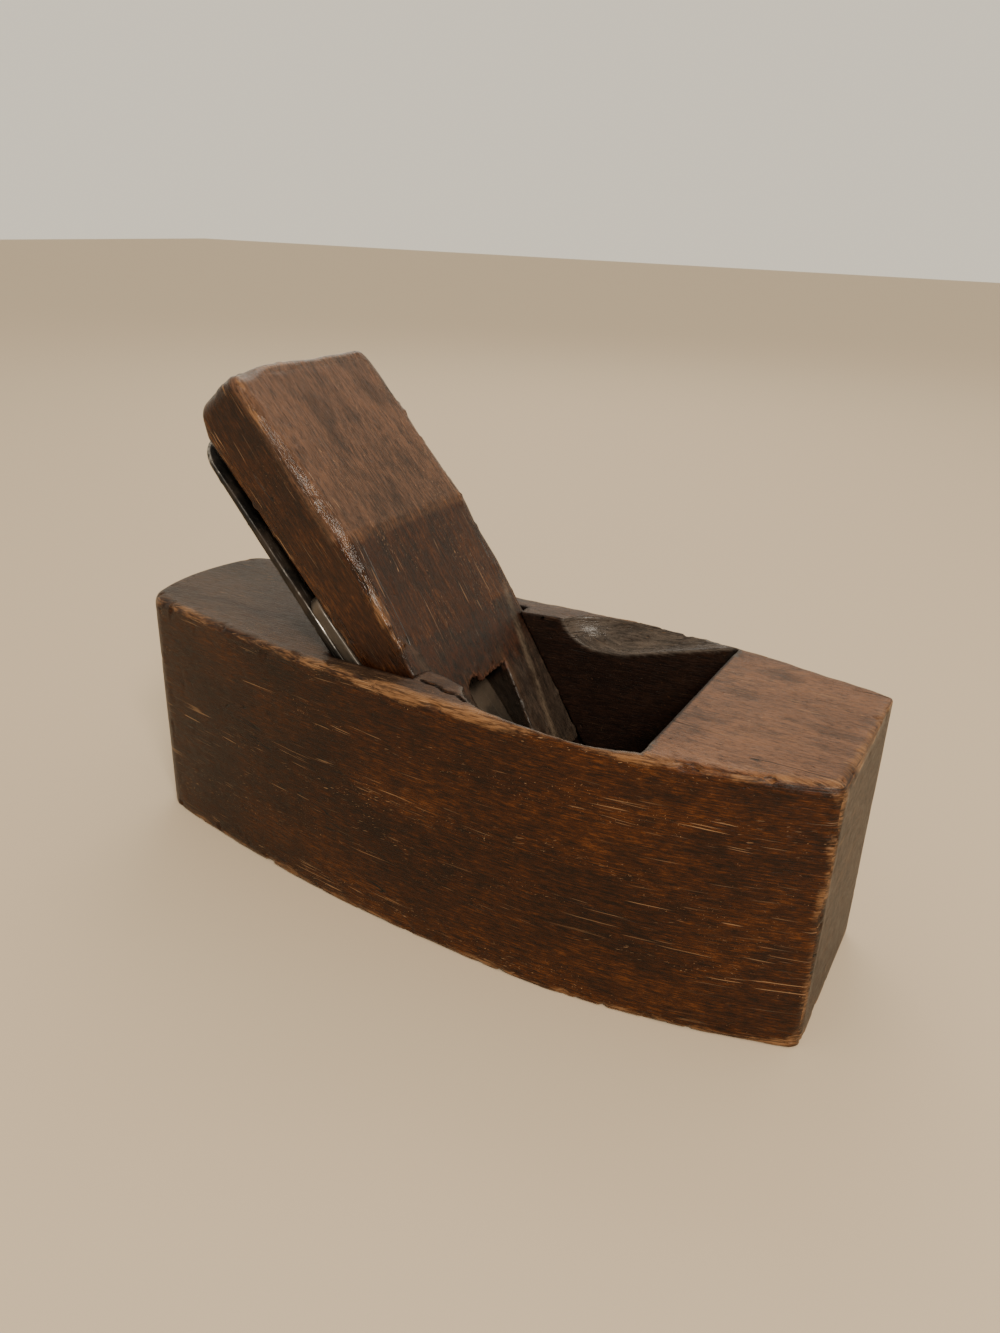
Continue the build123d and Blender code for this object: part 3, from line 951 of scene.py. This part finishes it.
# old oiled beech, for the stock and the wedge
stockLook = {
    "dark": tone(0.0075, 0.0022, 0.0006),
    "mid": tone(0.056, 0.0138, 0.0015),
    "light": tone(0.130, 0.0390, 0.0060),
    "fleck": tone(0.0055, 0.0018, 0.0006),
    "worn": tone(0.22, 0.108, 0.046),
    "scratch": tone(0.36, 0.20, 0.095),
    "bruise": tone(0.085, 0.065, 0.050),
    # near black tone for dirt and painted shade in inner corners, and for hair cracks
    "grime": tone(0.004, 0.0025, 0.0015),
    "edgeAmount": 0.27,
    "scratchAmount": 0.9,
    "roughness": 0.45,
    "gloss": 0.12,
    "shine": 0.2,
    "bump": 0.5,
    # each pair is the dark and the pale streaks of one zone
    # the top pairs are greyed as painted sheen: darker at the heel as painted shade, paler at the toe as
    # painted light
    "topHeel": (tone(0.026, 0.0145, 0.0090), tone(0.074, 0.042, 0.026)),
    "topToe": (tone(0.078, 0.034, 0.0170), tone(0.190, 0.088, 0.045)),
    "endGrain": (tone(0.007, 0.0032, 0.0014), tone(0.040, 0.0165, 0.0068)),
    "throat": (tone(0.0055, 0.0022, 0.0012), tone(0.020, 0.0072, 0.0032)),
    "chisel": tone(0.085, 0.036, 0.016),
    "eye": (tone(0.030, 0.024, 0.020), tone(0.090, 0.068, 0.053)),
}
wedgeLook = dict(
    stockLook,
    mid=tone(0.048, 0.0135, 0.0025),
    light=tone(0.110, 0.038, 0.009),
    edgeAmount=0.06,
    gloss=0.42,
    shine=0.28,
    upper=(tone(0.034, 0.0165, 0.0088), tone(0.132, 0.064, 0.035)),
    crest=tone(0.17, 0.078, 0.034),
    stain=(tone(0.008, 0.0050, 0.0036), tone(0.038, 0.0115, 0.0045)),
    film=(tone(0.022, 0.0175, 0.0140), tone(0.064, 0.048, 0.036)),
    # pale grey ridge line: worn wood with a painted highlight
    ridge=tone(0.125, 0.092, 0.064),
    # broken face: near black deep in the undercut as painted shade, pale fresh wood along the front of
    # the break
    broken=(tone(0.006, 0.004, 0.003), tone(0.105, 0.045, 0.027)),
)


def makeBeech(name, look, place, axes, zones):
    material, tree, shader = newMaterial(name)
    vector = place(tree)
    flat = overSurface(tree, vector, *axes)
    grain = placeGroup(tree, grainGroup, Vector=flat)
    scratch = placeGroup(tree, scratchGroup, Vector=flat, Amount=look["scratchAmount"])[0]
    ragged = math1(tree, "MULTIPLY_ADD", mark(tree, "frayed"), 0.4, look["edgeAmount"])
    worn = placeGroup(tree, edgeGroup, Vector=flat, Amount=ragged)[0]
    grime = placeGroup(tree, grimeAndShadeGroup, Vector=vector, Amount=0.8)[0]
    crack = placeGroup(tree, crackGroup, Vector=flat)[0]
    weave = math1(tree, "MULTIPLY_ADD", grain["Fibre"], 0.55, times(tree, grain["Mottle"], 0.45))
    weave = plus(tree, weave, times(tree, minus(tree, grain["Cloud"], 0.5), 0.3))
    colour = blend(tree, band(tree, weave, 0.36, 0.62), look["dark"], look["mid"])
    colour = blend(tree, times(tree, band(tree, weave, 0.53, 0.66), 0.8), colour, look["light"])
    colour = blend(tree, times(tree, grain["Fleck"], 0.4), colour, look["fleck"])
    colour, rough, sheltered = zones(tree, vector, colour, grain, weave, look)
    exposed = minus(tree, 1.0, sheltered, clamp=True)
    fibres = band(tree, grain["Fibre"], 0.38, 0.6, 0.2, 0.95)
    worn = times(tree, worn, times(tree, exposed, fibres))
    stain = speckle(tree, stretched(tree, flat, 17, 8, shift=(2, 4, 9)), 1, 5, 0.65)
    colour = blend(tree, band(tree, stain, 0.50, 0.66, 0, 0.5), colour, look["dark"])
    scratch = times(tree, scratch, exposed)
    spots = band(tree, speckle(tree, stretched(tree, flat, 3.4, 2.0), 1, 2.5, 0.6), 0.68, 0.76)
    colour = blend(tree, times(tree, spots, 0.75), colour, look["fleck"])
    pores = speckle(tree, stretched(tree, flat, 1.7, 0.55, 0.1, (6, 6, 6)), 1, 3, 0.7)
    colour = blend(tree, band(tree, pores, 0.52, 0.70, 0, 0.6), colour, look["fleck"])
    bruise = speckle(tree, stretched(tree, flat, 13, 1.6, 0.05, (9, 2, 4)), 1, 3, 0.6)
    bruise = band(tree, bruise, 0.705, 0.79)
    colour = blend(tree, times(tree, bruise, 0.6), colour, look["bruise"])
    colour = blend(tree, worn, colour, look["worn"])
    colour = blend(tree, times(tree, scratch, 0.7), colour, look["scratch"])
    # dirt and painted shade: inner corners blended towards near black
    colour = blend(tree, grime, colour, look["grime"])
    colour = blend(tree, crack, colour, look["grime"])
    link(tree, shader.inputs["Base Color"], colour)
    rough = plus(tree, rough, times(tree, minus(tree, grain["Mottle"], 0.5), 0.45))
    polish = times(tree, times(tree, mark(tree, "arris"), exposed), look["gloss"])
    rough = minus(tree, rough, polish)
    rough = plus(tree, rough, times(tree, grime, 0.3), clamp=True)
    link(tree, shader.inputs["Roughness"], rough)
    height = times(tree, weave, band(tree, sheltered, 0.3, 0.6, 0.9, 0.45))
    sunk = ((grain["Fleck"], 0.12), (scratch, 0.55), (crack, 1.5), (bruise, 0.5), (spots, 0.6))
    for mask, depth in sunk:
        height = minus(tree, height, times(tree, mask, depth))
    bump = add(tree, "ShaderNodeBump", {"Height": height, "Strength": look["bump"], "Distance": 0.0007})
    link(tree, shader.inputs["Normal"], bump.outputs[0])
    shader.inputs["Specular IOR Level"].default_value = look["shine"]
    return material


def stockZones(tree, vector, colour, grain, weave, look):
    normal = add(tree, "ShaderNodeTexCoord").outputs["Normal"]
    facing = add(tree, "ShaderNodeSeparateXYZ", {0: normal}).outputs
    along = add(tree, "ShaderNodeSeparateXYZ", {0: vector}).outputs[0]
    # painted shade: the heel half of the stock is darkened towards the dark grain tone, as if the light
    # fell from the toe end
    colour = blend(tree, band(tree, along, -75, 40, 0.5, 0), colour, look["dark"])
    # painted sheen and light: upward faces take greyed tones for the sheen on the top, running from a
    # darker heel (painted shade) to a paler toe (painted light)
    top = band(tree, facing[2], 0.72, 0.97)
    toeward = band(tree, along, -10, 75)
    low = blend(tree, toeward, look["topHeel"][0], look["topToe"][0])
    high = blend(tree, toeward, look["topHeel"][1], look["topToe"][1])
    greyed = blend(tree, band(tree, weave, 0.36, 0.62), low, high)
    greyed = blend(tree, times(tree, grain["Fleck"], 0.45), greyed, look["dark"])
    colour = blend(tree, times(tree, top, 0.9), colour, greyed)
    endGrain = band(tree, math1(tree, "ABSOLUTE", facing[0]), 0.8, 0.95)
    specks = speckle(tree, stretched(tree, vector, 8, 0.7, shift=(1, 2, 3)), 1, 4, 0.65)
    endTone = blend(tree, band(tree, specks, 0.4, 0.62), *look["endGrain"])
    colour = blend(tree, endGrain, colour, endTone)
    chisel = speckle(tree, stretched(tree, vector, 8, 0.36, 0.62, (4, 4, 4)), 1, 1)
    throat = blend(tree, band(tree, weave, 0.4, 0.62), *look["throat"])
    throat = blend(tree, times(tree, band(tree, chisel, 0.68, 0.80), 0.5), throat, look["chisel"])
    cut = mark(tree, "cutWall")
    colour = blend(tree, cut, colour, throat)
    eye = mark(tree, "eye")
    scoop = blend(tree, band(tree, weave, 0.36, 0.64), *look["eye"])
    colour = blend(tree, eye, colour, scoop)
    rough = minus(tree, look["roughness"], times(tree, eye, 0.24))
    rough = plus(tree, rough, times(tree, cut, 0.15))
    sheltered = math1(tree, "MAXIMUM", times(tree, cut, 0.85), times(tree, eye, 0.75))
    return colour, rough, sheltered


def wedgeZones(tree, vector, colour, grain, weave, look):
    place = add(tree, "ShaderNodeSeparateXYZ", {0: vector}).outputs
    ragged = times(tree, minus(tree, speckle(tree, vector, 5, 3), 0.5), 2.4)
    up = plus(tree, place[0], ragged)
    depth = times(tree, place[2], -1.0)
    front = band(tree, depth, 14.5, 18.0)
    upper = times(tree, band(tree, up, 111.4, 112.8), band(tree, depth, 18.5, 20.5))
    greyed = blend(tree, band(tree, weave, 0.36, 0.62), *look["upper"])
    colour = blend(tree, times(tree, upper, 0.85), colour, greyed)
    crest = times(tree, band(tree, up, 108.2, 110.4), band(tree, up, 111.6, 113.2, 1, 0))
    crest = times(tree, crest, band(tree, depth, 21.5, 22.8))
    crest = times(tree, crest, band(tree, weave, 0.4, 0.6, 0.12, 0.5))
    colour = blend(tree, crest, colour, look["crest"])
    stain = times(tree, band(tree, up, 80, 81.4, 1, 0), front)
    dark = blend(tree, band(tree, grain["Mottle"], 0.38, 0.62), *look["stain"])
    colour = blend(tree, times(tree, stain, 0.85), colour, dark)
    greasy = times(tree, band(tree, up, 60, 78, 0.9, 0), band(tree, depth, 13, 18, 1, 0.75))
    rubbed = plus(tree, mark(tree, "prong"), band(tree, up, 60, 66, 1, 0), clamp=True)
    film = blend(tree, band(tree, weave, 0.38, 0.62), *look["film"])
    colour = blend(tree, times(tree, greasy, rubbed), colour, film)
    # wear with a painted highlight: a pale grey line along the bevel ridge
    ridge = times(tree, mark(tree, "ridge"), band(tree, grain["Mottle"], 0.35, 0.6, 0.2, 0.8))
    colour = blend(tree, ridge, colour, look["ridge"])
    # painted shade: the broken face goes near black deeper in the notch under the undercut, and stays
    # pale fresh wood near the front
    broken = mark(tree, "broken")
    freshAndShadedBreak = blend(tree, band(tree, depth, 15.2, 16.4), *look["broken"])
    colour = blend(tree, broken, colour, freshAndShadedBreak)
    rough = plus(tree, look["roughness"], times(tree, broken, 0.3))
    return colour, rough, band(tree, up, 72, 84, 0.85, 0)


# old steel, brown with age and bright along its edges
ironLook = {
    "dark": tone(0.020, 0.019, 0.018),
    "rust": tone(0.030, 0.021, 0.015),
    "bright": tone(0.30, 0.28, 0.26),
    "edge": 0.05,
    "metal": 0.8,
}
capLook = {
    "dark": tone(0.048, 0.039, 0.031),
    "rust": tone(0.078, 0.056, 0.039),
    "bright": tone(0.20, 0.18, 0.155),
    "edge": 0.05,
    "metal": 0.35,
}


def makeSteel(name, look, place):
    material, tree, shader = newMaterial(name)
    vector = place(tree)
    cloud = speckle(tree, vector, 11, 5, 0.6, 0.4)
    speck = speckle(tree, vector, 0.9, 3, 0.6)
    brushed = speckle(tree, stretched(tree, vector, 40, 0.6), 1, 3)
    worn = placeGroup(tree, edgeGroup, Vector=vector, Amount=look["edge"])[0]
    scratch = placeGroup(tree, scratchGroup, Vector=vector, Amount=0.7)[0]
    colour = blend(tree, band(tree, cloud, 0.4, 0.65), look["dark"], look["rust"])
    colour = blend(tree, times(tree, band(tree, speck, 0.55, 0.7), 0.5), colour, look["rust"])
    bright = math1(tree, "MAXIMUM", worn, times(tree, scratch, 0.5))
    colour = blend(tree, bright, colour, look["bright"])
    link(tree, shader.inputs["Base Color"], colour)
    metal = band(tree, cloud, 0.45, 0.7, look["metal"], look["metal"] * 0.6)
    link(tree, shader.inputs["Metallic"], metal)
    rough = plus(tree, band(tree, cloud, 0.35, 0.7, 0.36, 0.62), times(tree, bright, -0.12))
    link(tree, shader.inputs["Roughness"], rough)
    height = plus(tree, times(tree, brushed, 0.4), times(tree, speck, 0.6))
    height = minus(tree, height, times(tree, scratch, 0.4))
    bump = add(tree, "ShaderNodeBump", {"Height": height, "Strength": 0.3, "Distance": 0.0003})
    link(tree, shader.inputs["Normal"], bump.outputs[0])
    return material


rowAxes = ((1, 0, 0), (0, 0, 1))
bedAxes = (tuple(upBed), (bedSin, 0, bedCos))
stockBeech = makeBeech("stockBeech", stockLook, alongRow, rowAxes, stockZones)
wedgeBeech = makeBeech("wedgeBeech", wedgeLook, alongBed, bedAxes, wedgeZones)
ironSteel = makeSteel("ironSteel", ironLook, alongBed)
capSteel = makeSteel("capSteel", capLook, alongBed)
screwSteel = makeSteel("screwSteel", ironLook, alongBed)
nutSteel = makeSteel("nutSteel", capLook, alongBed)
print("materials made")

# wear and finishes: depths and sizes in metres
woodWear = {
    "Swell": 0.0002,
    "Swell Size": 0.03,
    "Knock": 0.0006,
    "Knock Size": 0.0042,
    "Ripple": 0.0001,
    "Ripple Size": 0.004,
}
wedgeWear = dict(woodWear, Swell=0.0001, Knock=0.0004)
steelWear = {
    "Swell": 0.00005,
    "Swell Size": 0.02,
    "Knock": 0.0001,
    "Knock Size": 0.002,
    "Ripple": 0.00002,
    "Ripple Size": 0.001,
}
finishes = [
    # piece, body, node, slot, material, wear, seed
    ("beechStock", "stock", "stock", "stock_beech", stockBeech, woodWear, 0.3),
    ("beechWedge", "wedge", "wedge", "wedge_beech", wedgeBeech, wedgeWear, 1.7),
    ("taperedIron", "cutting_iron", "cutting_iron", "iron_steel", ironSteel, steelWear, 2.9),
    ("capIron", "cap_iron", "cap_iron", "cap_steel", capSteel, steelWear, 3.1),
    ("capScrew", "cap_iron_screw", "cap_iron_screw", "screw_steel", screwSteel, steelWear, 4.3),
    ("capNut", "cap_iron", "cap_iron_nut", "nut_steel", nutSteel, steelWear, 5.2),
]
threadStart = bedToRow(np.array([[screwS, 0, screwSize["threadStart"]]]))[0] * mm
threadLength = screwSize["end"] - screwSize["threadStart"] - screwSize["threadRunout"]
thread = {
    "Radius": screwSize["coreRadius"] * mm,
    "Pitch": screwSize["threadPitch"] * mm,
    "Length": threadLength * mm,
    "Depth": screwSize["threadDepth"] * mm,
    "Start": tuple(threadStart),
    "Turn": (0, math.atan2(bedSin, bedCos), 0),
}
wearTree = makeWearTree()
threadTree = makeThreadTree()
for name, body, node, slot, material, wear, seed in finishes:
    piece = pieces[name]
    grow(piece, wearTree, dict(wear, Seed=seed, Material=material))
    if name == "capScrew":
        grow(piece, threadTree, dict(thread, Material=material))
    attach(piece, body)
    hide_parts(node)
    print(name, "finished,", len(piece.data.vertices), "points")


# floor and soft light
studio = {
    "floor": tone(0.58, 0.47, 0.34),
    "world": tone(1.0, 0.90, 0.72),
    "worldStrength": 0.95,
    "aim": (0, 0, 0.04),
    "lights": [
        # name, place, size, power, colour
        ("mainLight", (0.62, -0.60, 0.80), 0.26, 11, (1.0, 0.91, 0.78)),
        ("backLight", (-0.35, 0.75, 0.80), 0.6, 3, (1.0, 0.93, 0.84)),
    ],
}


def stagePlane(name, corners, colour):
    mesh = bpy.data.meshes.new(name)
    mesh.from_pydata(corners, [], [(0, 1, 2, 3)])
    piece = bpy.data.objects.new(name, mesh)
    bpy.context.scene.collection.objects.link(piece)
    material, tree, shader = newMaterial(name)
    shader.inputs["Base Color"].default_value = colour
    shader.inputs["Roughness"].default_value = 0.75
    mesh.materials.append(material)


def makeStudio(look):
    stagePlane("paleFloor", [(-4, -4, 0), (4, -4, 0), (4, 4, 0), (-4, 4, 0)], look["floor"])
    world = bpy.data.worlds.new("studio")
    bpy.context.scene.world = world
    world.use_nodes = True
    sky = world.node_tree.nodes["Background"].inputs
    sky["Color"].default_value = look["world"]
    sky["Strength"].default_value = look["worldStrength"]
    for name, place, size, power, colour in look["lights"]:
        data = bpy.data.lights.new(name, "AREA")
        data.size = size
        data.energy = power
        data.color = colour
        lamp = bpy.data.objects.new(name, data)
        bpy.context.scene.collection.objects.link(lamp)
        lamp.location = place
        aim = Vector(look["aim"]) - Vector(place)
        lamp.rotation_euler = aim.to_track_quat("-Z", "Y").to_euler()


makeStudio(studio)
